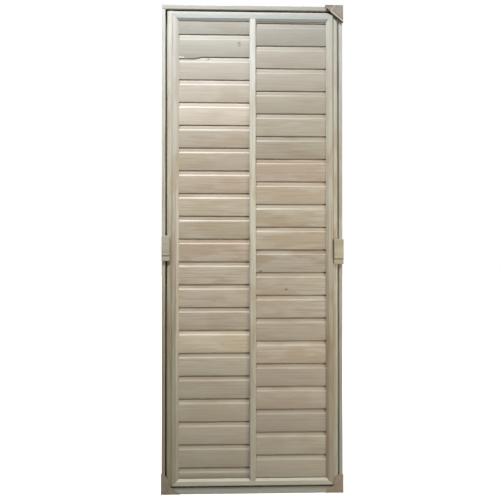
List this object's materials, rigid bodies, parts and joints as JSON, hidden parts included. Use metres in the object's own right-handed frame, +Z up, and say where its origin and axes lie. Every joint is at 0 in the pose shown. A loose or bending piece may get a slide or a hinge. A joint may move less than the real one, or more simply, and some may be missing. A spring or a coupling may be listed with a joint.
{
  "type": "sauna door",
  "caption": "Solid wooden sauna door in its box frame: leaf clad with horizontal shadow-gap lining in two staggered columns, mitred trims, butt hinges, card corner guards.",
  "frame": {"origin": "middle of the underside of the sill, at mid depth of the box frame", "axes": "+X to the right seen from the front, +Y away from the viewer, +Z up"},
  "size_m": [0.705, 0.071, 1.892],
  "materials": {
    "lime_wood": "planed, unfinished",
    "cardboard": "folded brown corrugated card",
    "zinc_steel": "zinc plated"
  },
  "bodies": {
    "frame": {"jamb_left": "lime_wood", "jamb_right": "lime_wood", "frame_head": "lime_wood", "frame_sill": "lime_wood", "batten_left": "lime_wood", "batten_right": "lime_wood", "corner_guard_top_right": "cardboard", "corner_guard_bottom_left": "cardboard", "corner_guard_bottom_right": "cardboard", "hinge_lower_jamb_flap": "zinc_steel", "hinge_upper_jamb_flap": "zinc_steel", "hinge_lower_pin": "zinc_steel", "hinge_upper_pin": "zinc_steel"},
    "leaf": {"stile_left": "lime_wood", "stile_right": "lime_wood", "rail_top": "lime_wood", "rail_bottom": "lime_wood", "muntin": "lime_wood", "front_boards_left": "lime_wood", "front_boards_right": "lime_wood", "rear_boards_left": "lime_wood", "rear_boards_right": "lime_wood", "hinge_lower_leaf_flap": "zinc_steel", "hinge_upper_leaf_flap": "zinc_steel", "front_trim_left": "lime_wood", "front_trim_right": "lime_wood", "front_trim_top": "lime_wood", "front_trim_bottom": "lime_wood", "front_middle_strip": "lime_wood", "rear_trim_left": "lime_wood", "rear_trim_right": "lime_wood", "rear_trim_top": "lime_wood", "rear_trim_bottom": "lime_wood", "rear_middle_strip": "lime_wood"}
  },
  "joints": [
    {"name": "leaf_swing", "type": "hinge", "parent": "frame", "child": "leaf", "pos_m": [0.3342, 0.03, 0.948], "axis": [0, 0, -1], "range_deg": [0, 105]}
  ]
}
